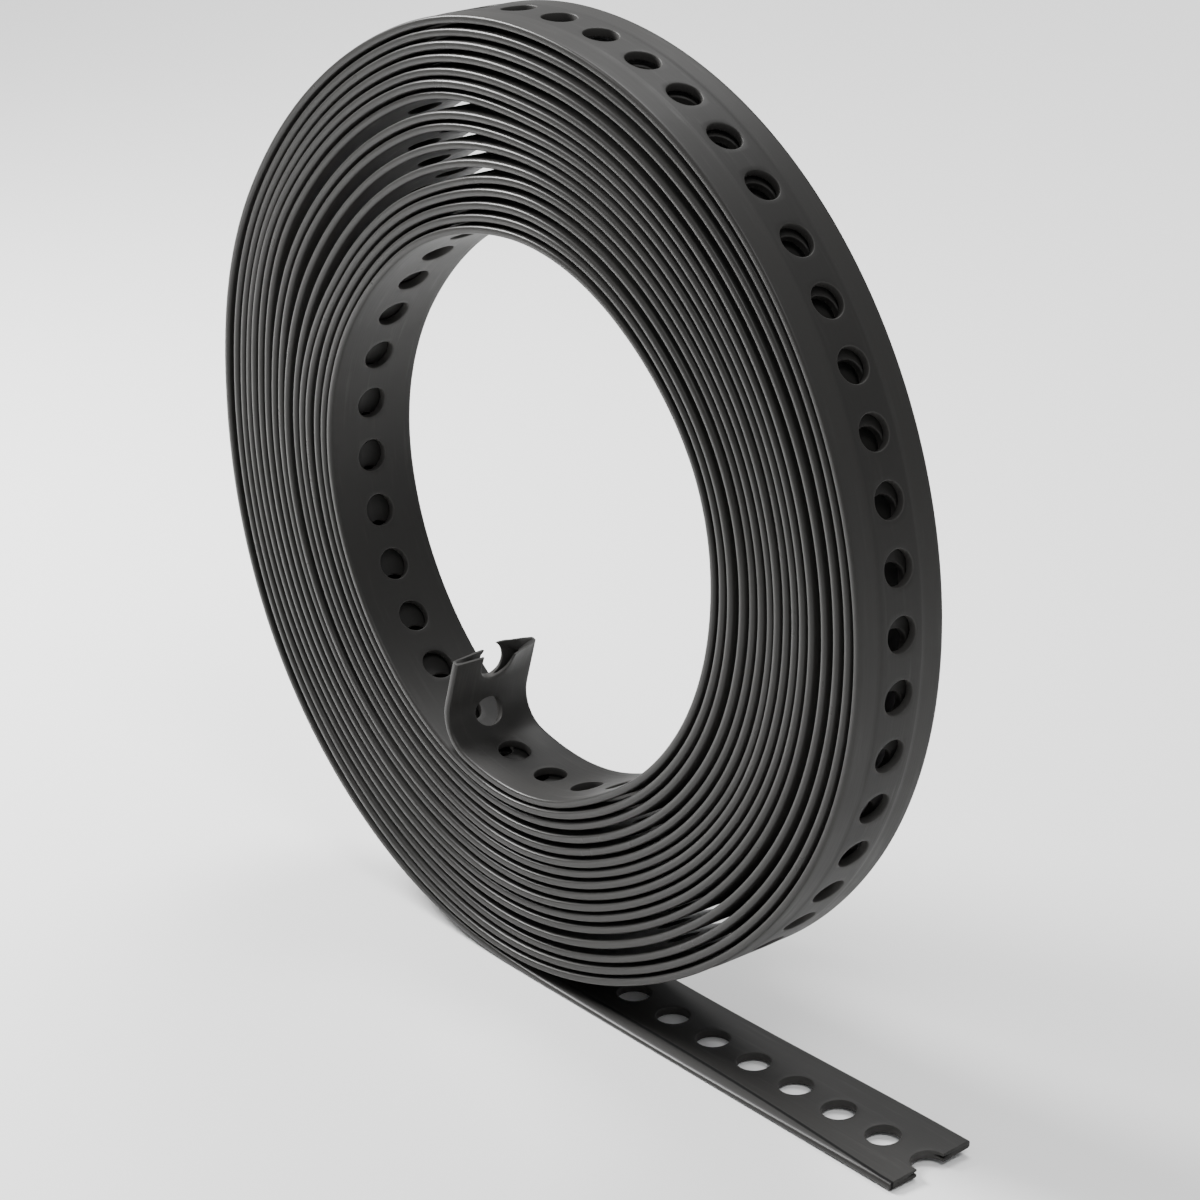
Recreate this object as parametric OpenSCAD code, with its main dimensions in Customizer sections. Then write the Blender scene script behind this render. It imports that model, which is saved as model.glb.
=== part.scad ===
// Perforated strap wound into a loose coil. The coil stands on its outer turn, and the
// free end lies flat along the floor.
// X follows the free end, Y is the coil's axis and Z is up. The floor is z = 0.
// Seen from the front the strap runs from the free end to the left, up, over the top and
// inwards, turn by turn, to a short lip that stands up inside the eye.

/* [Strap] */
// Width of the strap
strap_w = 26; // [16:0.5:40]
// Thickness of the strap
strap_t = 2.2; // [1.2:0.1:3]

/* [Holes] */
// Diameter of the punched holes
hole_d = 8.5; // [4:0.1:10]
// Distance between hole centres along the strap
hole_pitch = 15; // [12:0.5:30]
// Distance from the free end's cut to the centre of the hole that it runs through
cut_offset = 0.4; // [0.2:0.1:3]

/* [Coil] */
// Number of turns
turns = 16; // [6:1:16]
// Radius of the outermost turn, to the middle of the strap
coil_r = 121.46; // [110:0.02:160]
// Mean gap between neighbouring turns on the left
left_gap = 0.8; // [0.5:0.1:1.2]
// Mean gap between neighbouring turns on the right
right_gap = 0.9; // [0.7:0.1:1.2]
// Gap between the two outermost turns at the floor
floor_gap = 0.4; // [0.3:0.1:0.8]
// Upright run of the outermost turn on the left, by which the coil sits down on the floor
left_rise = 1.2; // [0.4:0.2:2.4]

/* [Ends] */
// Reach of the free end from the coil's axis, moved to the nearest hole that it can be cut through
tail_reach = 140; // [100:1:200]
// Bend radius of the lip, to the middle of the strap
lip_r = 10; // [9:0.5:14]
// Distance from the middle of the bend on to the hole that lies in it
bend_past = 2.5; // [0:0.5:4]
// Distance from the lip's cut to the centre of the hole that it runs through
lip_cut = 3.5; // [1:0.1:4]

/* [Hidden] */
$fn = 96;
coat_black = [0.21, 0.21, 0.2];

// Shares of the mean gaps on the left and on the right, from the outermost turn inwards
left_shares = [2.2, 0.8, 0.7, 0.8, 1.0, 1.1, 1.2, 1.2, 0.7, 1.8, 0.8, 0.7, 1.6, 0.8, 0.8, 1.0];
right_shares = [0.7, 1.3, 2.0, 2.2, 0.8, 0.5, 0.6, 0.6, 0.5, 0.5, 0.8, 1.0, 1.8, 0.7, 1.2, 1.0];

// Middle radius of turn k where it crosses the coil's horizontal line, left and right
function share_sum(shares, k) = k == 0 ? 0 : shares[k - 1] + share_sum(shares, k - 1);
function left_r(k) = coil_r - k * strap_t - left_gap * share_sum(left_shares, k);
function right_r(k) = coil_r - k * strap_t - right_gap * share_sum(right_shares, k);

// Half turns: the even ones run under the coil and the odd ones over it.
// Each one's centre is midway between its two crossings, so they meet in line.
// The first one is only a quarter turn, up from the floor to the upright run on the left.
last_half = 2 * turns;
function half_ends(j) = j % 2 == 0
    ? [right_r(j / 2 - 1), left_r(j / 2)]
    : [right_r((j - 1) / 2), left_r((j - 1) / 2)];
function half_r(j) = j == 0
    ? half_r(2) + strap_t + floor_gap - left_rise
    : (half_ends(j)[0] + half_ends(j)[1]) / 2;
function half_shift(j) = j == 0 ? half_r(0) - left_r(0) : (half_ends(j)[0] - half_ends(j)[1]) / 2;
function half_x(j) = coil_x + half_shift(j);
function half_z(j) = j == 0 ? coil_z - left_rise : coil_z;
// Angles at which the strap enters and leaves half turn j, running clockwise
function half_from(j) = j == 0 ? 270 : j % 2 == 0 ? 360 : 180;
function half_to(j) = j % 2 == 0 ? 180 : 0;
function half_len(j) = half_r(j) * (half_from(j) - half_to(j)) * PI / 180 + (j == 0 ? left_rise : 0);

// Length along the coil at which each half turn starts
turned = [for (j = 0, s = 0; j <= last_half; s = s + half_len(j), j = j + 1) s];

// The last half turn ends a little past its lowest point, where the lip bends in by a right
// angle and leans 7 in 24. The bend is round a hole, where the strap is weakest.
lip_lean = atan(7 / 24);
lip_bend = 90;
lip_arc = lip_r * lip_bend * PI / 180;
lip_turned = turned[last_half] + half_r(last_half) * (90 + lip_lean) * PI / 180;
bend_turned = lip_turned + lip_arc / 2 + bend_past;

// The holes are counted from the free end, whose length puts one of them at the bend
bend_hole = round((tail_reach - half_shift(0) + bend_turned - cut_offset) / hole_pitch);
tail_len = bend_hole * hole_pitch + cut_offset - bend_turned;
holes = bend_hole + 1;
strap_len = holes * hole_pitch + cut_offset + lip_cut;
starts = [for (s = turned) tail_len + s];
lip_start = tail_len + lip_turned;
lip_line = lip_start + lip_arc;

// The box of the part is centred on the origin along X, to a fiftieth of a millimetre
centring = 50;
coil_x = round((left_r(0) + strap_t / 2 - tail_len - half_shift(0)) / 2 * centring) / centring;
coil_z = half_r(0) + left_rise + strap_t / 2;
tail_x = half_x(0) + tail_len;
lip_a = 270 - lip_lean;
lip_drop = half_r(last_half) - lip_r;
lip_x = half_x(last_half) + lip_drop * cos(lip_a);
lip_z = coil_z + lip_drop * sin(lip_a);
lip_end_a = lip_a - lip_bend;

function hole_s(n) = cut_offset + n * hole_pitch;
function half_of(s) = max([for (j = [0:last_half]) if (starts[j] <= s) j]);
// Place on the middle line at length s: x, z and the direction of the strap's outer face
function on_arc(x, z, r, a) = [x + r * cos(a), z + r * sin(a), a];
function place(s) = s < tail_len
    ? [tail_x - s, strap_t / 2, 270]
    : s < lip_start
    ? let (j = half_of(s))
        on_arc(half_x(j), half_z(j), half_r(j), half_from(j) - (s - starts[j]) / half_r(j) * 180 / PI)
    : s < lip_line
    ? on_arc(lip_x, lip_z, lip_r, lip_a - (s - lip_start) / lip_r * 180 / PI)
    : on_arc(lip_x, lip_z, lip_r, lip_end_a)
        + (s - lip_line) * [sin(lip_end_a), -cos(lip_end_a), 0];

// Section of the strap, thickness along X and width along Y
module section() {
    square([strap_t, strap_w], center = true);
}

// Round band about an axis along Y, between two angles
module band(x, z, r, a0, a1) {
    translate([x, 0, z])
        rotate([90, 0, 0])
            rotate_extrude(angle = a1 - a0, start = a0, $fn = 144)
                translate([r, 0])
                    section();
}

// Punch for hole n: it stops in the gaps to the turns beside it, or past the curve of the bend
hole_over = min(left_gap * min(left_shares), right_gap * min(right_shares), floor_gap) / 2;
bend_inner_r = lip_r - strap_t / 2;
bend_over = hole_over + bend_inner_r - sqrt(pow(bend_inner_r, 2) - pow(hole_d / 2, 2));
module punch(n) {
    p = place(hole_s(n));
    translate([p[0], 0, p[1]])
        rotate([0, 90 - p[2], 0])
            cylinder(d = hole_d, h = strap_t + 2 * (n == bend_hole ? bend_over : hole_over), center = true);
}

// Frame of the last half turn's centre, turned so that the lip leaves it straight below
module lip_frame() {
    translate([half_x(last_half), 0, coil_z])
        rotate([0, lip_lean, 0])
            children();
}

// The strap before it is punched
module blank() {
    translate([half_x(0), 0, strap_t / 2])
        rotate([0, 90, 0])
            linear_extrude(tail_len)
                section();
    translate([coil_x - left_r(0), 0, half_z(0)])
        linear_extrude(left_rise)
            section();
    for (j = [0:last_half - 1])
        band(half_x(j), half_z(j), half_r(j), half_to(j), half_from(j));
    difference() {
        band(half_x(last_half), coil_z, half_r(last_half), 180, 360);
        lip_frame()
            translate([-2 * coil_r, -strap_w, -2 * coil_r])
                cube([2 * coil_r, 2 * strap_w, 4 * coil_r]);
    }
    lip_frame() {
        band(0, -lip_drop, lip_r, 180, 270);
        translate([-lip_r, 0, -lip_drop])
            linear_extrude(strap_len - lip_line)
                section();
    }
}

module strap() {
    color(coat_black)
        difference() {
            blank();
            for (n = [0:holes])
                punch(n);
        }
}

strap();
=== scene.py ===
import bpy
import numpy as np
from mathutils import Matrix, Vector


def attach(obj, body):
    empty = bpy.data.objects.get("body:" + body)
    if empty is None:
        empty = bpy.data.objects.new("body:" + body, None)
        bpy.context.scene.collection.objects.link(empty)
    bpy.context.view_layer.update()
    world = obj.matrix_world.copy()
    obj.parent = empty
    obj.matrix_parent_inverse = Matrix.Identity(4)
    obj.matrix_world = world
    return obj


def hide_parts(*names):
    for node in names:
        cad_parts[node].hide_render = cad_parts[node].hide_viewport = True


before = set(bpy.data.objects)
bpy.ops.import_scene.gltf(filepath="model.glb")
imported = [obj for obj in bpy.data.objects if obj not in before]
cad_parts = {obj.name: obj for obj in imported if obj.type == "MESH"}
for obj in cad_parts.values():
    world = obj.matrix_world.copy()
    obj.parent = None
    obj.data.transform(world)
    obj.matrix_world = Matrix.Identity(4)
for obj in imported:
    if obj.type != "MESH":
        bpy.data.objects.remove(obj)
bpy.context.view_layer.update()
print("frame loaded:", ", ".join(sorted(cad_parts)))

mm = 0.001
pi = np.pi

# The strap as it is wound, in millimetres
wound = {
    "width": 26.0,
    "thick": 2.2,
    "holeD": 8.5,
    "pitch": 15.0,
    "cutOff": 0.4,  # from the free end's cut to the centre of the hole that it runs through
    "turns": 16,
    "outerR": 121.46,
    "leftGap": 0.8,
    "leftShares": [2.2, 0.8, 0.7, 0.8, 1.0, 1.1, 1.2, 1.2, 0.7, 1.8, 0.8, 0.7, 1.6, 0.8, 0.8, 1.0],
    "rightGap": 0.9,
    "rightShares": [0.7, 1.3, 2.0, 2.2, 0.8, 0.5, 0.6, 0.6, 0.5, 0.5, 0.8, 1.0, 1.8, 0.7, 1.2, 1.0],
    "floorGap": 0.4,
    "leftRise": 1.2,  # upright run of the outermost turn on the left
    "tailReach": 140.0,
    "lipR": 10.0,
    "bendPast": 2.5,  # from the middle of the bend on to its hole
    "lipCut": 3.5,  # from the lip's cut to the centre of the hole that it runs through
    "lipLean": (7, 24),  # sideways and up
    "centring": 0.02,  # step to which the coil's axis is placed
}


# The path is a straight tail, then half turns, then a right-angled bend and a short straight lip.
# The tail's length puts a hole in the bend. A half turn runs between a crossing of the coil's
# level line on the right and one on the left. Its radius is the mean of the two, and its centre
# lies midway between them. The first is a quarter turn from the floor to an upright run.
def layPath(w):
    tight = w["outerR"] - np.arange(w["turns"] + 1) * w["thick"]
    leftR = tight - w["leftGap"] * np.append(0, np.cumsum(w["leftShares"]))
    rightR = tight - w["rightGap"] * np.append(0, np.cumsum(w["rightShares"]))
    half = np.arange(2 * w["turns"] + 1)
    enters, leaves = rightR[np.maximum((half + 1) // 2 - 1, 0)], leftR[half // 2]
    radius = (enters + leaves) / 2
    radius[0] = radius[2] + w["thick"] + w["floorGap"] - w["leftRise"]
    shift = (enters - leaves) / 2
    shift[0] = radius[0] - leftR[0]
    fromA = np.where(half % 2 == 0, 2 * pi, pi)
    fromA[0] = 1.5 * pi
    toA = np.where(half % 2 == 0, pi, 0)
    lengths = radius * (fromA - toA)
    lengths[0] += w["leftRise"]
    turned = np.cumsum(lengths) - lengths
    lean = np.arctan2(*w["lipLean"])
    lipTurned = turned[-1] + radius[-1] * (pi / 2 + lean)
    bendArc = w["lipR"] * pi / 2
    bendTurned = lipTurned + bendArc / 2 + w["bendPast"]
    bendHole = int(round((w["tailReach"] - shift[0] + bendTurned - w["cutOff"]) / w["pitch"]))
    tailLen = bendHole * w["pitch"] + w["cutOff"] - bendTurned
    middle = (leftR[0] + w["thick"] / 2 - tailLen - shift[0]) / 2
    coilX = round(middle / w["centring"]) * w["centring"]
    coilZ = radius[0] + w["leftRise"] + w["thick"] / 2
    return {
        "centreX": coilX + shift,
        "centreZ": coilZ - np.where(half == 0, w["leftRise"], 0),
        "radius": radius,
        "fromA": fromA,
        "starts": tailLen + turned,
        "tailX": coilX + shift[0] + tailLen,
        "tailLen": tailLen,
        "lipStart": tailLen + lipTurned,
        "lipLine": tailLen + lipTurned + bendArc,
        "lipA": 1.5 * pi - lean,
        "bendHole": bendHole,
        "length": (bendHole + 1) * w["pitch"] + w["cutOff"] + w["lipCut"],
    }


path = layPath(wound)
halfT = wound["thick"] / 2
halfW = wound["width"] / 2
holeR = wound["holeD"] / 2
pitch = wound["pitch"]


def halfTurnAt(s):  # number of the half turn that holds length s
    return np.clip(np.searchsorted(path["starts"], s, side="right") - 1, 0, None)


# Place of the middle line at length s, in the XZ plane, and the direction of the outer face
def pathAt(s):
    turn = halfTurnAt(s)
    coilA = path["fromA"][turn] - (s - path["starts"][turn]) / path["radius"][turn]
    coilX = path["centreX"][turn] + path["radius"][turn] * np.cos(coilA)
    coilZ = path["centreZ"][turn] + path["radius"][turn] * np.sin(coilA)
    inset = path["radius"][-1] - wound["lipR"]
    bendX = path["centreX"][-1] + inset * np.cos(path["lipA"])
    bendZ = path["centreZ"][-1] + inset * np.sin(path["lipA"])
    bent = np.clip(s, path["lipStart"], path["lipLine"]) - path["lipStart"]
    lipA = path["lipA"] - bent / wound["lipR"]
    past = np.maximum(s - path["lipLine"], 0)
    lipX = bendX + wound["lipR"] * np.cos(lipA) + past * np.sin(lipA)
    lipZ = bendZ + wound["lipR"] * np.sin(lipA) - past * np.cos(lipA)
    stretch = [s < path["tailLen"], s < path["lipStart"]]
    x = np.select(stretch, [path["tailX"] - s, coilX], lipX)
    z = np.select(stretch, [np.full_like(s, halfT), coilZ], lipZ)
    a = np.select(stretch, [np.full_like(s, 1.5 * pi), coilA], lipA)
    return x, z, a


def smooth(t):  # eases from 0 to 1
    t = np.clip(t, 0, 1)
    return t * t * (3 - 2 * t)


def waves(s, parts):  # sum of sine waves, each with its height, its length over 2 pi and its phase
    return sum(high * np.sin(s / long + phase) for high, long, phase in parts)


# Share of a movement at s: 0 on the free end and on the lip, eased in and out over two lengths
def offEnds(s, easeIn, easeOut):
    return smooth((s - path["tailLen"]) / easeIn) * smooth((path["lipStart"] - s) / easeOut)


# The coat: full thickness over the steel, on the outer face a soft step down to its side strips,
# and edges between round and square
coat = {
    "stepAt": 6.0,
    "stepWide": 0.8,
    "stepDrop": 0.13,
    "edgeR": 1.1,
    "edgePower": 2.8,  # 2 is round, and a large number is square
    "rimR": 0.28,  # rounding at the rim of a hole
    "cellHalf": 6.0,  # half width of the band that holds the row of holes
    "sideCrowd": 1.6,  # 1 spaces a side strip's lines evenly, and more crowds them to the step
}


# Half thickness at v across the strap: flat, less the eased step, closed by half a superellipse
def faceHeight(v, drop):
    over = np.abs(v)
    flat = halfT - drop * smooth((over - coat["stepAt"]) / coat["stepWide"])
    turned = np.clip((over - halfW + coat["edgeR"]) / coat["edgeR"], 0, 1)
    return flat * (1 - turned ** coat["edgePower"]) ** (1 / coat["edgePower"])


# The free end's near edge is folded down a little, widest in the middle of its length, and its
# far corner curls up from the floor
droop = {
    "from": 4.0,  # where the fold starts and ends, along the strap from the cut
    "to": 165.0,
    "least": 0.9,  # width of the fold
    "most": 3.5,
    "ease": 40.0,  # length in which it runs out
    "slope": 0.32,
    "curl": 1.6,  # height of the far corner
    "curlFrom": 95.0,
}


# Width of the fold at length s: it swells and shrinks again as half a wave
def foldWidth(s):
    along = np.sin(pi * np.clip((s - droop["from"]) / (droop["to"] - droop["from"]), 0, 1))
    width = droop["least"] + (droop["most"] - droop["least"]) * along
    return width * smooth((droop["to"] - s) / droop["ease"])


# The fold lowers only the face away from the floor. The curl lifts both faces.
def sag(s, v, h):
    fold = np.maximum(foldWidth(s) - halfW - v, 0) * droop["slope"]
    curl = droop["curl"] * smooth(1 - s / droop["curlFrom"]) * (v + halfW) / wound["width"]
    return h + fold * (halfT - h) / wound["thick"] - curl


# How the loose turns lie off their circles and out of line sideways, in millimetres and degrees
slack = {
    # angle about the coil's axis, and the offset there of the innermost and the outermost turn
    "offsets": [
        (0, 0.0, 0.9), (17, 1.0, 0.8), (30, 0.3, 0.8), (45, -1.5, 0.7), (60, -2.2, 0.5),
        (80, -2.9, 0.1), (100, -4.2, 0.0), (120, -4.4, -1.7), (140, -4.2, -0.9), (160, -1.9, 1.4),
        (180, 0.0, 0.0), (215, -0.9, 0.6), (240, -0.8, 0.0), (256, -0.1, 0.0), (270, -0.6, 0.0),
        (285, -2.2, -2.0), (300, -3.1, -3.2), (320, -2.4, -1.9), (340, -1.1, 0.2),
    ],
    "spread": (-8, -4, 0, 4, 8),  # angles over which the mean of the offsets is taken
    "fade": 60.0,  # length in which the offsets start and end
    "ripple": 0.08,
    "ripples": [(1, 53.0, 0.0), (1, 31.0, 2.0)],
    # offset of each turn at the upper left, from the outermost one inwards
    "bunch": (0, 1.1, 1.6, 2.2, 2.8, 3.3, 3.7, 1.9, 2.4, 0.5, -0.7, -2.3, -1.9, -0.8, -0.5, 0, 0),
    "bunchFrom": (82, 112),  # angles at which a bunch starts and is full, from each side
    "bunchTo": (178, 145),
    "wander": 0.45,
    "wanders": [(0.45, 97.0, 1.3), (0.3, 41.0, 0.4), (0.25, 173.0, 0.0)],
    "wanderFade": (400.0, 200.0),
}


# The offset along the radius: the innermost and the outermost turn's, each as a mean over a few
# degrees, are shared out by the distance r from the axis. It fades out at the floor and at the lip.
# At the upper left the turns also lie in bunches: each turn has its own offset there.
def offRound(s, a, r):
    deg = np.degrees(a)
    angles, *rows = np.array(slack["offsets"]).T
    near = [deg + step for step in slack["spread"]]
    inner, outer = [
        np.mean([np.interp(at, angles, row, period=360) for at in near], axis=0)
        for row in rows
    ]
    innerR, outerR = path["radius"][-1], path["radius"][1]
    share = np.clip((r - innerR) / (outerR - innerR), 0, 1)
    ripple = slack["ripple"] * waves(s, slack["ripples"])
    (right, rightFull), (left, leftFull) = slack["bunchFrom"], slack["bunchTo"]
    here = smooth((deg - right) / (rightFull - right)) * smooth((deg - left) / (leftFull - left))
    bunch = np.array(slack["bunch"])[halfTurnAt(s) // 2] * here
    fade = offEnds(s, slack["fade"], slack["fade"])
    return (inner + (outer - inner) * share + ripple * (1 - here) + bunch) * fade


# A point of the strap: s along it, v across it, h out from its middle, wrapped round the path
def wrap(s, v, h):
    x, z, a = pathAt(s)
    off = offRound(s, a, np.hypot(x - path["centreX"][1], z - path["centreZ"][1]))
    x, z = x + off * np.cos(a), z + off * np.sin(a)
    y = v + slack["wander"] * offEnds(s, *slack["wanderFade"]) * waves(s, slack["wanders"])
    h = sag(s, v, h)
    return np.stack([x + h * np.cos(a), y, z + h * np.sin(a)], axis=1) * mm


# Quads of a grid of numbered points, turned so that rows x columns looks outwards
def gridQuads(rows, cols, closed=False):
    n = np.arange(rows * cols).reshape(rows, cols)
    if closed:
        n = np.concatenate([n, n[:1]])
    return np.stack([n[:-1, :-1], n[:-1, 1:], n[1:, 1:], n[1:, :-1]], axis=-1).reshape(-1, 4)


weldSteps = 2000  # to a millimetre


# Puts grids of (s, v, h) points together and merges the points that fall on the same step
def weld(grids):
    points, quads, count = [], [], 0
    for pts, faces in grids:
        points.append(pts)
        quads.append(faces + count)
        count += len(pts)
    points = np.concatenate(points)
    quads = np.concatenate(quads)
    steps = np.round(points * weldSteps).astype(np.int64)
    _, keep, back = np.unique(steps, axis=0, return_index=True, return_inverse=True)
    return points[keep], back.reshape(-1)[quads]


# How finely a cell round one hole is divided, and the one at a cut end
cells = {
    "fine": {"long": 10, "end": 11, "short": 8, "rim": 3, "rings": 3, "side": 7, "edge": 8},
    "plain": {"long": 6, "short": 4, "rim": 1, "rings": 1, "side": 4, "edge": 4},
}


# Profile of a side strip from the band of holes out to the edge: v, and the heights of both faces
def sideProfile(cell):
    flat = np.linspace(0, 1, cell["side"] + 1) ** coat["sideCrowd"]
    inner = coat["cellHalf"] + (halfW - coat["edgeR"] - coat["cellHalf"]) * flat
    turned = np.sin(np.linspace(0, pi / 2, cell["edge"] + 1)[1:]) ** (2 / coat["edgePower"])
    v = np.concatenate([inner, halfW - coat["edgeR"] * (1 - turned)])
    return v, faceHeight(v, coat["stepDrop"]), -faceHeight(v, 0)


# Half of the profile from a hole's rim to the border of its cell: how far out of the rim in
# millimetres, the share of the way left to the border, and the height
def rimProfile(cell):
    turned = np.linspace(0, pi / 2, cell["rim"] + 1)
    ring = np.linspace(0, 1, cell["rings"] + 1)[1:]
    out = np.concatenate([coat["rimR"] * (1 - np.cos(turned)), np.full(len(ring), coat["rimR"])])
    share = np.concatenate([np.zeros(len(turned)), ring])
    high = np.concatenate([halfT - coat["rimR"] * (1 - np.sin(turned)), np.full(len(ring), halfT)])
    return out, share, high


# Rings of points from a rim to a border, both (n, 2), with one height for each ring
def rings(rim, border, cell):
    out, share, high = rimProfile(cell)
    way = border - rim
    far = np.linalg.norm(way, axis=1)[:, None]
    t = out / far + share * (1 - out / far)
    flat = rim[:, None, :] + way[:, None, :] * t[..., None]
    return np.concatenate([flat, np.broadcast_to(high[:, None], t.shape + (1,))], axis=2)


# The lower face of a set of rings, read from the border in to the rim
def under(grid):
    return grid[:, ::-1] * np.array([1, 1, -1])


def flatten(grid):
    return grid.reshape(-1, grid.shape[-1])


# One whole cell: rings round the hole on both faces joined by its wall, and two side strips
def cellPlan(cell):
    x, y = pitch / 2, coat["cellHalf"]
    alongX = np.linspace(-x, x, cell["long"] + 1)
    alongY = np.linspace(-y, y, cell["short"] + 1)
    border = np.concatenate([
        np.stack([np.full(cell["short"], x), alongY[:-1]], axis=1),
        np.stack([alongX[:0:-1], np.full(cell["long"], y)], axis=1),
        np.stack([np.full(cell["short"], -x), alongY[:0:-1]], axis=1),
        np.stack([alongX[:-1], np.full(cell["long"], -y)], axis=1),
    ])
    turn = np.arctan2(border[:, 1], border[:, 0])
    rim = holeR * np.stack([np.cos(turn), np.sin(turn)], axis=1)
    face = rings(rim, border, cell)
    hole = np.concatenate([under(face), face], axis=1)
    grids = [(flatten(hole), gridQuads(*hole.shape[:2], closed=True))]
    return weld(grids + [sideStrip(cell, alongX, side) for side in (1, -1)])


# A side strip is its profile, out along one face and back along the other, carried along the cell
def sideStrip(cell, stations, side):
    v, upper, lower = sideProfile(cell)
    v, h = np.concatenate([v, v[-2::-1]]), np.concatenate([upper, lower[-2::-1]])
    if side > 0:
        v, h = v[::-1], h[::-1]
    grid = carry(stations, side * v, h)
    return flatten(grid), gridQuads(*grid.shape[:2])


# A profile of v and h at each of the stations along s
def carry(stations, v, h):
    grid = np.empty((len(stations), len(v), 3))
    grid[..., 0] = stations[:, None]
    grid[..., 1] = v
    grid[..., 2] = h
    return grid


# Repeats a cell at each hole of a stretch
def repeatCell(plan, holes):
    points, quads = plan
    at = wound["cutOff"] + pitch * np.asarray(holes, float)
    copies = np.repeat(points[None], len(at), axis=0)
    copies[..., 0] += at[:, None]
    faces = quads[None] + len(points) * np.arange(len(at))[:, None, None]
    return flatten(copies), faces.reshape(-1, 4)


# A cut end runs through a hole. Its two skins part, with a dark slit between them: how far the
# cut is from the hole's centre, how far the slit goes in, half its width, and how far the skins
# stand off, on the near and far prong
ends = {
    "tail": {
        "cut": wound["cutOff"],
        "deep": (2.6, 2.6),
        "gap": (0.42, 0.42),
        "outer": (0.0, 0.0),
        "inner": (0.0, 0.0),
    },
    "lip": {
        "cut": wound["lipCut"],
        "deep": (4.5, 8.2),
        "gap": (0.5, 0.6),
        "outer": (0.7, 1.9),
        "inner": (0.3, 2.4),
    },
}

# What the slits of both ends share
slits = {
    "margin": 0.5,  # beside a long edge, where there is no slit
    "fade": 1.5,  # from there on to its full size
    "change": 4.0,  # width in which one prong's values become the other's
    "leastDeep": 0.01,
    "liftPower": 1.2,  # 1 lifts a skin evenly, and more bends it up towards the cut
    "rootShare": 0.6,  # depth of the root beside the notch, of the slit's depth
    "gapShare": 0.6,  # the most that it takes of the half thickness
    "shut": 0.001,  # a narrower slit is none
    "onRim": 1e-6,
}


# A value of the two prongs at v: it eases from one to the other and fades out at the edges
def prongValue(pair, v):
    near, far = pair
    fade = smooth((halfW - slits["margin"] - np.abs(v)) / slits["fade"])
    return (near + (far - near) * smooth((v + slits["change"] / 2) / slits["change"])) * fade


# Share of the slit's depth that is left at x: 1 at the cut and 0 at the slit's root
def slitLeft(x, v, end):
    deep = np.maximum(prongValue(end["deep"], v), slits["leastDeep"])
    return np.clip(1 - (x + end["cut"]) / deep, 0, 1)


# The skins stand off most at the cut and beside the notch, and not at all at the slit's root.
# The inner skin is torn back past the hole's middle, so its notch stays as wide as the hole:
# what lies between the hole's rim and the side strip is squeezed away from the notch.
def liftSkins(points, end):
    x, v, h = points.T
    rim = np.sqrt(np.maximum(holeR**2 - x**2, 0))
    room = coat["cellHalf"] - holeR
    squeezed = holeR + (np.abs(v) - rim) * room / (coat["cellHalf"] - rim)
    torn = (h < 0) & (x < 0) & (np.abs(v) < coat["cellHalf"])
    v = np.where(torn, np.sign(v) * squeezed, v)
    toEdge = np.clip((halfW - np.abs(v)) / (halfW - holeR), 0, 1)
    ramp = slitLeft(x, v, end) ** slits["liftPower"] * toEdge
    lift = np.where(h > 0, prongValue(end["outer"], v), -prongValue(end["inner"], v)) * ramp
    return np.stack([x, v, h + np.where(h == 0, 0, lift)], axis=1)


# The cell at a cut end: an open ring round the notch on both faces, side strips and the slit
def endPlan(cell, end):
    reach = pitch / 2
    stations = np.linspace(-end["cut"], reach, cell["end"] + 1)
    alongY = np.linspace(-coat["cellHalf"], coat["cellHalf"], cell["short"] + 1)
    border = np.concatenate([
        np.stack([stations[:-1], np.full(len(stations) - 1, -coat["cellHalf"])], axis=1),
        np.stack([np.full(cell["short"], reach), alongY[:-1]], axis=1),
        np.stack([stations[::-1], np.full(len(stations), coat["cellHalf"])], axis=1),
    ])
    turn = np.arctan2(border[:, 1], border[:, 0])
    turn = turn * np.arccos(-end["cut"] / holeR) / turn[-1]
    rim = holeR * np.stack([np.cos(turn), np.sin(turn)], axis=1)
    face = rings(rim, border, cell)
    v, upper, lower = sideProfile(cell)
    grids = []
    for grid in (face, under(face)):
        grids.append((flatten(grid), gridQuads(*grid.shape[:2])))
    for side in (1, -1):
        for grid in (carry(stations, side * v, upper), carry(stations, side * v, lower)[:, ::-1]):
            quads = gridQuads(*grid.shape[:2])
            grids.append((flatten(grid), quads[:, ::-1] if side > 0 else quads))
    grids.append(slit(face, v, upper, lower, end))
    points, quads = weld(grids)
    return liftSkins(points, end), quads


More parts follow.
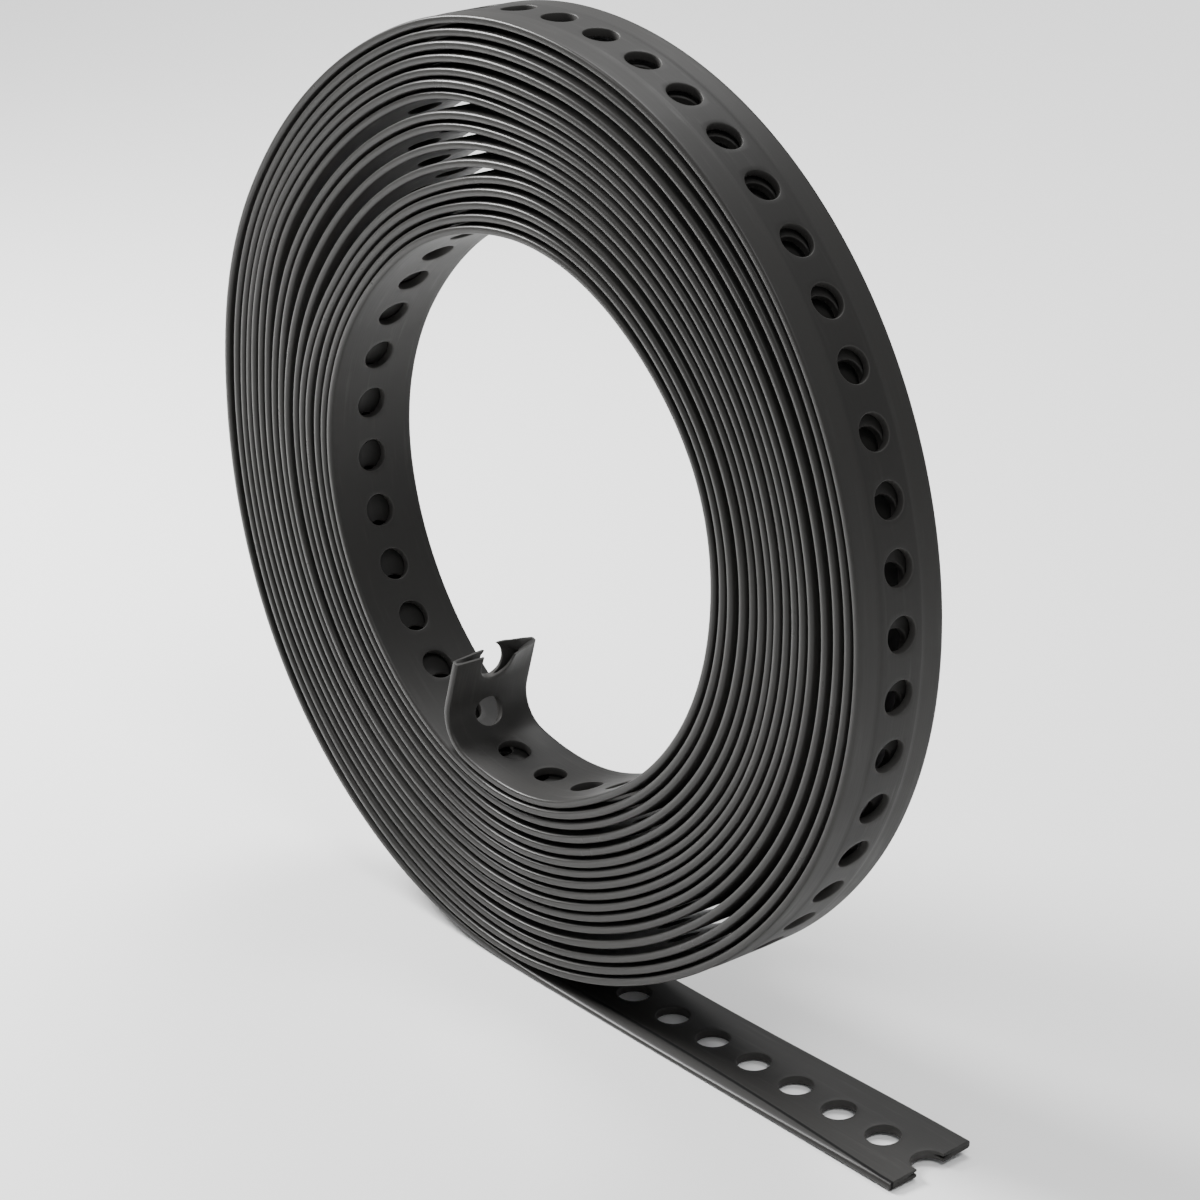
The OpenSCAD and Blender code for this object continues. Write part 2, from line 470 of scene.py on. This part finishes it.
# The cut face follows the end and the notch, first on the lower face and then on the upper one.
# Its profile goes from the lower edge to the slit, in to the slit's root, out again and on to
# the upper edge. The root lies outside the notch, and turns less far round than the notch does.
# Where the slit is shut there is no root.
def slit(face, v, upper, lower, end):
    outlines = []
    for h, mirror in ((lower, -1), (upper, 1)):
        outer = np.stack([np.full(len(v), -end["cut"]), v, h], axis=1)[::-1]
        near = outer * np.array([1, -1, 1])
        notch = face * np.array([1, 1, mirror])
        outlines.append(np.concatenate([
            near[:-1], notch[0, ::-1], notch[1:-1, 0], notch[-1], outer[-2::-1],
        ]))
    low, high = outlines
    x, v = high[:, 0], high[:, 1]
    inRim = np.hypot(x, v) < holeR + slits["onRim"]
    cornerA = np.arccos(-end["cut"] / holeR)
    corner = holeR * np.sin(cornerA)
    left = slitLeft(x, v, end)
    deep = slits["rootShare"] * prongValue(end["deep"], v) * left
    turn = np.arctan2(v, x) * (1 + (min(1, pi / 2 / cornerA) - 1) * left)
    rimRoot = (holeR + deep)[:, None] * np.stack([np.cos(turn), np.sin(turn)], axis=1)
    out = np.clip((np.abs(v) - corner) / (halfW - corner), 0, 1)
    rootX = -end["cut"] * out
    rootV = np.sign(v) * (holeR + deep) * (1 - out) + v * out
    root = np.where(inRim[:, None], rimRoot, np.stack([rootX, rootV], axis=1))
    most = slits["gapShare"] * high[:, 2]
    gap = np.minimum(prongValue(end["gap"], v), most) * np.sqrt(left)
    root = np.where(gap[:, None] > slits["shut"], root, high[:, :2])
    grid = np.stack([
        low,
        np.stack([x, v, -gap], axis=1),
        np.stack([root[:, 0], root[:, 1], np.zeros(len(root))], axis=1),
        np.stack([x, v, gap], axis=1),
        high,
    ], axis=1)
    return flatten(grid), gridQuads(*grid.shape[:2])


# The cut end at the start of the path, and the one at its end, which faces the other way
def tailEnd(cell):
    points, quads = endPlan(cell, ends["tail"])
    return points + np.array([wound["cutOff"], 0, 0]), quads


def lipEnd(cell):
    points, quads = endPlan(cell, ends["lip"])
    at = np.array([path["length"] - wound["lipCut"], 0, 0])
    return points * np.array([-1, 1, 1]) + at, quads[:, ::-1]


print("path laid:", round(path["length"]), "mm of strap,", path["bendHole"] + 2, "holes")


# Shader values as Python expressions: wraps a socket, and an operator adds its Math node
class Shade:
    def __init__(self, tree, socket=None):
        self.tree = tree
        self.socket = socket

    # any node: its type, its settings, which are set first, and the values or links it takes
    def node(self, kind, settings, inputs, out=0):
        made = self.tree.nodes.new(kind)
        for name, value in settings.items():
            setattr(made, name, value)
        for name, value in inputs.items():
            self.feed(made.inputs[name], value)
        return Shade(self.tree, made.outputs[out])

    def feed(self, socket, value):
        if isinstance(value, Shade):
            self.tree.links.new(value.socket, socket)
        else:
            socket.default_value = value

    # another output of the same node
    def beside(self, name):
        return Shade(self.tree, self.socket.node.outputs[name])

    def maths(self, operation, *values):
        return self.node("ShaderNodeMath", {"operation": operation}, dict(enumerate(values)))

    def __add__(self, other):
        return self.maths("ADD", self, other)

    def __radd__(self, other):
        return self.maths("ADD", other, self)

    def __sub__(self, other):
        return self.maths("SUBTRACT", self, other)

    def __rsub__(self, other):
        return self.maths("SUBTRACT", other, self)

    def __mul__(self, other):
        return self.maths("MULTIPLY", self, other)

    def __rmul__(self, other):
        return self.maths("MULTIPLY", other, self)

    def __abs__(self):
        return self.maths("ABSOLUTE", self)

    def point(self, x, y, z):
        return self.node("ShaderNodeCombineXYZ", {}, {0: x, 1: y, 2: z})

    # fractal noise at this place
    def noise(self, scale, detail):
        inputs = {"Vector": self, "Scale": scale, "Detail": detail}
        return self.node("ShaderNodeTexNoise", {}, inputs)

    # eases from 0 at low to 1 at high
    def ease(self, low, high):
        return self.node(
            "ShaderNodeMapRange",
            {"interpolation_type": "SMOOTHSTEP"},
            {"Value": self, "From Min": low, "From Max": high},
        )

    # the Mix node keeps its two colours at inputs 6 and 7, and the mixed one at output 2
    def mixColour(self, share, first, second):
        return self.node(
            "ShaderNodeMix",
            {"data_type": "RGBA"},
            {"Factor": share, 6: first, 7: second},
            out=2,
        )


# Satin black coat: the band over the steel is darker than the side strips, worn long edges are
# paler, hole rims and cut notches are paler as painted highlight, a painted shade line runs along
# the fold of the free end, fine lines run along the strap, and rubbed places shine a little more
satin = {
    "band": (0.0180, 0.0173, 0.0162, 1),
    "side": (0.0230, 0.0222, 0.0208, 1),
    # paler tone: real wear on the long edges and rubbed places, and painted highlight at hole rims
    # and cut notches
    "wornAndRimLit": (0.060, 0.058, 0.055, 1),
    # painted shade: colour of the dark line along the fold of the free end
    "foldShade": (0.004, 0.004, 0.004, 1),
    "sideEase": (-0.3, 0.9),  # about the step, in millimetres like the next four
    "edgeEase": (1.0, 0.1),  # in from the long edge
    # width of the painted highlight at the hole rims
    "rimLightEase": 0.35,
    "foldShadeEase": (0.15, 0.55),
    "foldShadeEnd": (60.0, 20.0),  # before the end of the fold
    "lines": {"along": 0.012, "across": 2.2, "detail": 3.0},
    "rub": {"along": 0.05, "across": 0.5, "seed": 3.0, "detail": 6.0, "ease": (0.55, 0.75)},
    "cloud": (70.0, 4.0),  # scale and detail
    "grain": (2600.0, 2.0),
    "edgeWear": 0.2,
    "wearAndRimLight": (0.3, 0.4),  # everywhere, and in the clouds
    "rubWear": 0.10,
    "rough": 0.54,
    "edgeShine": 0.22,
    "cloudRough": 0.14,
    "lineRough": 0.10,
    "rubShine": 0.07,
    "foldShadeRough": 0.45,
    "specular": 0.22,
    "lineRelief": 0.6,
    "grainRelief": 0.35,
    "bump": (0.12, 0.0002),  # strength, and height in metres
}


# Painted shade: a dark line along the fold of the free end, by the formula of foldWidth: 1 on it
# and 0 off it
def foldShadeLine(pen, look, along, across):
    share = (along - droop["from"]) * (1 / (droop["to"] - droop["from"]))
    swell = pen.maths("SINE", pen.maths("MINIMUM", pen.maths("MAXIMUM", share, 0.0), 1.0) * pi)
    width = droop["least"] + (droop["most"] - droop["least"]) * swell
    off = abs(across + halfW - width).ease(*look["foldShadeEase"])
    past = along.ease(*(droop["to"] - before for before in look["foldShadeEnd"]))
    return (1 - off) * (1 - past)


def satinCoat(look):
    material = bpy.data.materials.new("satinCoat")
    material.use_nodes = True
    pen = Shade(material.node_tree)
    place = pen.node("ShaderNodeUVMap", {"uv_map": "strapMap"}, {})
    along = pen.node("ShaderNodeSeparateXYZ", {}, {0: place})
    across = along.beside("Y")
    body = pen.node("ShaderNodeTexCoord", {}, {}, out="Object")
    outer = pen.node("ShaderNodeAttribute", {"attribute_name": "outerFace"}, {}, out="Fac")

    over = abs(across)
    side = over.ease(*(coat["stepAt"] + off for off in look["sideEase"])) * outer
    edge = over.ease(*(halfW - off for off in look["edgeEase"]))
    toHole = pen.maths("WRAP", along - wound["cutOff"], pitch / 2, -pitch / 2)
    fromRim = pen.maths("SQRT", toHole * toHole + across * across) - holeR
    # painted highlight: paler towards each hole's rim and on the walls of the cut notches
    rim = 1 - fromRim.ease(0.0, look["rimLightEase"])
    # painted shade along the fold, which also roughens the coat there
    foldShade = foldShadeLine(pen, look, along, across)

    fine, patch = look["lines"], look["rub"]
    lines = pen.point(along * fine["along"], across * fine["across"], 0.0)
    lines = lines.noise(1.0, fine["detail"])
    rub = pen.point(along * patch["along"], across * patch["across"], patch["seed"])
    rub = rub.noise(1.0, patch["detail"]).ease(*patch["ease"])
    cloud = body.noise(*look["cloud"])
    grain = body.noise(*look["grain"])

    colour = pen.mixColour(side, look["band"], look["side"])
    least, more = look["wearAndRimLight"]
    wearAndRimLight = (rim + edge * look["edgeWear"]) * (least + more * cloud)
    # mixes in real wear on the long edges and the painted highlight at the rims
    colour = pen.mixColour(wearAndRimLight, colour, look["wornAndRimLit"])
    colour = pen.mixColour(rub * look["rubWear"], colour, look["wornAndRimLit"])
    # painted shade: darkens the coat along the fold
    colour = pen.mixColour(foldShade, colour, look["foldShade"])
    rough = look["rough"] - look["edgeShine"] * edge + look["foldShadeRough"] * foldShade
    rough = rough + look["cloudRough"] * (cloud - 0.5) + look["lineRough"] * (lines - 0.5)
    rough = rough - look["rubShine"] * rub
    strength, high = look["bump"]
    relief = lines * look["lineRelief"] + grain * look["grainRelief"]
    bump = {"Strength": strength, "Distance": high, "Height": relief}
    finish = {
        "Base Color": colour,
        "Roughness": rough,
        "Specular IOR Level": look["specular"],
        "Normal": pen.node("ShaderNodeBump", {}, bump),
    }
    for name, value in finish.items():
        pen.feed(material.node_tree.nodes["Principled BSDF"].inputs[name], value)
    return material


sharpFrom = 40  # degrees between faces


# Puts points and quads into a mesh. A quad with two corners in one place becomes a triangle.
def strapPiece(name, grids, material):
    points, quads = weld(grids)
    same = quads == np.roll(quads, -1, axis=1)
    sharp = same.sum(axis=1)
    triangles = quads[sharp == 1][~same[sharp == 1]].reshape(-1, 3)
    quads = quads[sharp == 0]
    mesh = bpy.data.meshes.new(name)
    mesh.from_pydata(wrap(*points.T), [], quads.tolist() + triangles.tolist())
    corner = np.empty(len(mesh.loops), np.int32)
    mesh.loops.foreach_get("vertex_index", corner)
    chart = mesh.uv_layers.new(name="strapMap")
    chart.data.foreach_set("uv", points[corner, :2].astype(np.float32).ravel())
    outer = mesh.attributes.new("outerFace", "FLOAT", "POINT")
    share = np.clip(0.5 + points[:, 2] / wound["thick"], 0, 1)
    outer.data.foreach_set("value", share.astype(np.float32))
    mesh.polygons.foreach_set("use_smooth", np.ones(len(mesh.polygons), bool))
    mesh.set_sharp_from_angle(angle=np.radians(sharpFrom))
    mesh.materials.append(material)
    piece = bpy.data.objects.new(name, mesh)
    bpy.context.scene.collection.objects.link(piece)
    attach(piece, "root")
    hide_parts("strap")
    print(name, "made:", 2 * len(quads) + len(triangles), "triangles")


# The strap in stretches, each up to a hole that is counted from the free end
stretches = {"outerTurn": 62, "middleTurnsA": 250, "middleTurnsB": 440, "middleTurnsC": 632}


def windStrap():
    material = satinCoat(satin)
    fine, plain = cells["fine"], cells["plain"]
    finePlan, plainPlan = cellPlan(fine), cellPlan(plain)
    to = stretches["outerTurn"]
    strapPiece("outerTurn", [tailEnd(fine), repeatCell(finePlan, range(1, to))], material)
    for name in ("middleTurnsA", "middleTurnsB", "middleTurnsC"):
        strapPiece(name, [repeatCell(plainPlan, range(to, stretches[name]))], material)
        to = stretches[name]
    inner = [repeatCell(finePlan, range(to, path["bendHole"] + 1)), lipEnd(fine)]
    strapPiece("innerTurn", inner, material)


windStrap()

# The stage: a pale floor, soft light from the upper left and a camera on the coil
stage = {
    "floor": (0.88, 0.88, 0.875, 1),
    "floorRough": 0.9,
    "floorReach": 6.0,  # in metres
    "floorDrop": 0.0001,  # below the strap
    "world": (0.97, 0.98, 1.0),
    "worldLevel": 0.5,
    # place, aim and diameter in metres, and watts
    "lights": {
        "keyLight": ((-0.6, -0.2, 0.6), (-0.03, 0, 0.16), 0.3, 16),
        "sideLight": ((0.8, -0.3, 1.5), (0.05, 0, 0.16), 0.6, 10),
        "backLight": ((-0.8, 1.0, 2.2), (-1.2, 1.2, 0), 1.2, 60),
    },
    # the camera, in millimetres and degrees
    "target": (11.614, 0.0, 104.9),
    "azimuth": 50.341,
    "elevation": 22.392,
    "distance": 831.03,
    "focal": 3415.245 / 1200,  # in widths of the picture
    "sensor": 36.0,
    "clipStart": 10.0,
}


def paleFloor(look):
    material = bpy.data.materials.new("paleFloor")
    material.use_nodes = True
    shader = material.node_tree.nodes["Principled BSDF"]
    shader.inputs["Base Color"].default_value = look["floor"]
    shader.inputs["Roughness"].default_value = look["floorRough"]
    reach, z = look["floorReach"], -look["floorDrop"]
    corners = [(x * reach, y * reach, z) for x, y in ((-1, -1), (1, -1), (1, 1), (-1, 1))]
    mesh = bpy.data.meshes.new("floor")
    mesh.from_pydata(corners, [], [(0, 1, 2, 3)])
    mesh.materials.append(material)
    floor = bpy.data.objects.new("floor", mesh)
    bpy.context.scene.collection.objects.link(floor)


def softLight(name, at, aim, size, watts):
    lamp = bpy.data.lights.new(name, "AREA")
    lamp.shape = "DISK"
    lamp.size = size
    lamp.energy = watts
    light = bpy.data.objects.new(name, lamp)
    light.location = at
    light.rotation_euler = (Vector(aim) - Vector(at)).to_track_quat("-Z", "Y").to_euler()
    bpy.context.scene.collection.objects.link(light)


def photoCamera(look):
    turn, rise = np.radians(look["azimuth"]), np.radians(look["elevation"])
    back = Vector((np.sin(turn) * np.cos(rise), -np.cos(turn) * np.cos(rise), np.sin(rise)))
    data = bpy.data.cameras.new("photoCamera")
    data.sensor_width = look["sensor"]
    data.lens = look["sensor"] * look["focal"]
    data.clip_start = look["clipStart"] * mm
    camera = bpy.data.objects.new("photoCamera", data)
    camera.location = (Vector(look["target"]) + back * look["distance"]) * mm
    camera.rotation_euler = back.to_track_quat("Z", "Y").to_euler()
    bpy.context.scene.collection.objects.link(camera)
    bpy.context.scene.camera = camera


def lightWorld(look):
    world = bpy.data.worlds.new("studio")
    world.use_nodes = True
    sky = world.node_tree.nodes["Background"]
    sky.inputs["Color"].default_value = look["world"] + (1,)
    sky.inputs["Strength"].default_value = look["worldLevel"]
    bpy.context.scene.world = world


paleFloor(stage)
lightWorld(stage)
for name, values in stage["lights"].items():
    softLight(name, *values)
photoCamera(stage)
print("stage set")
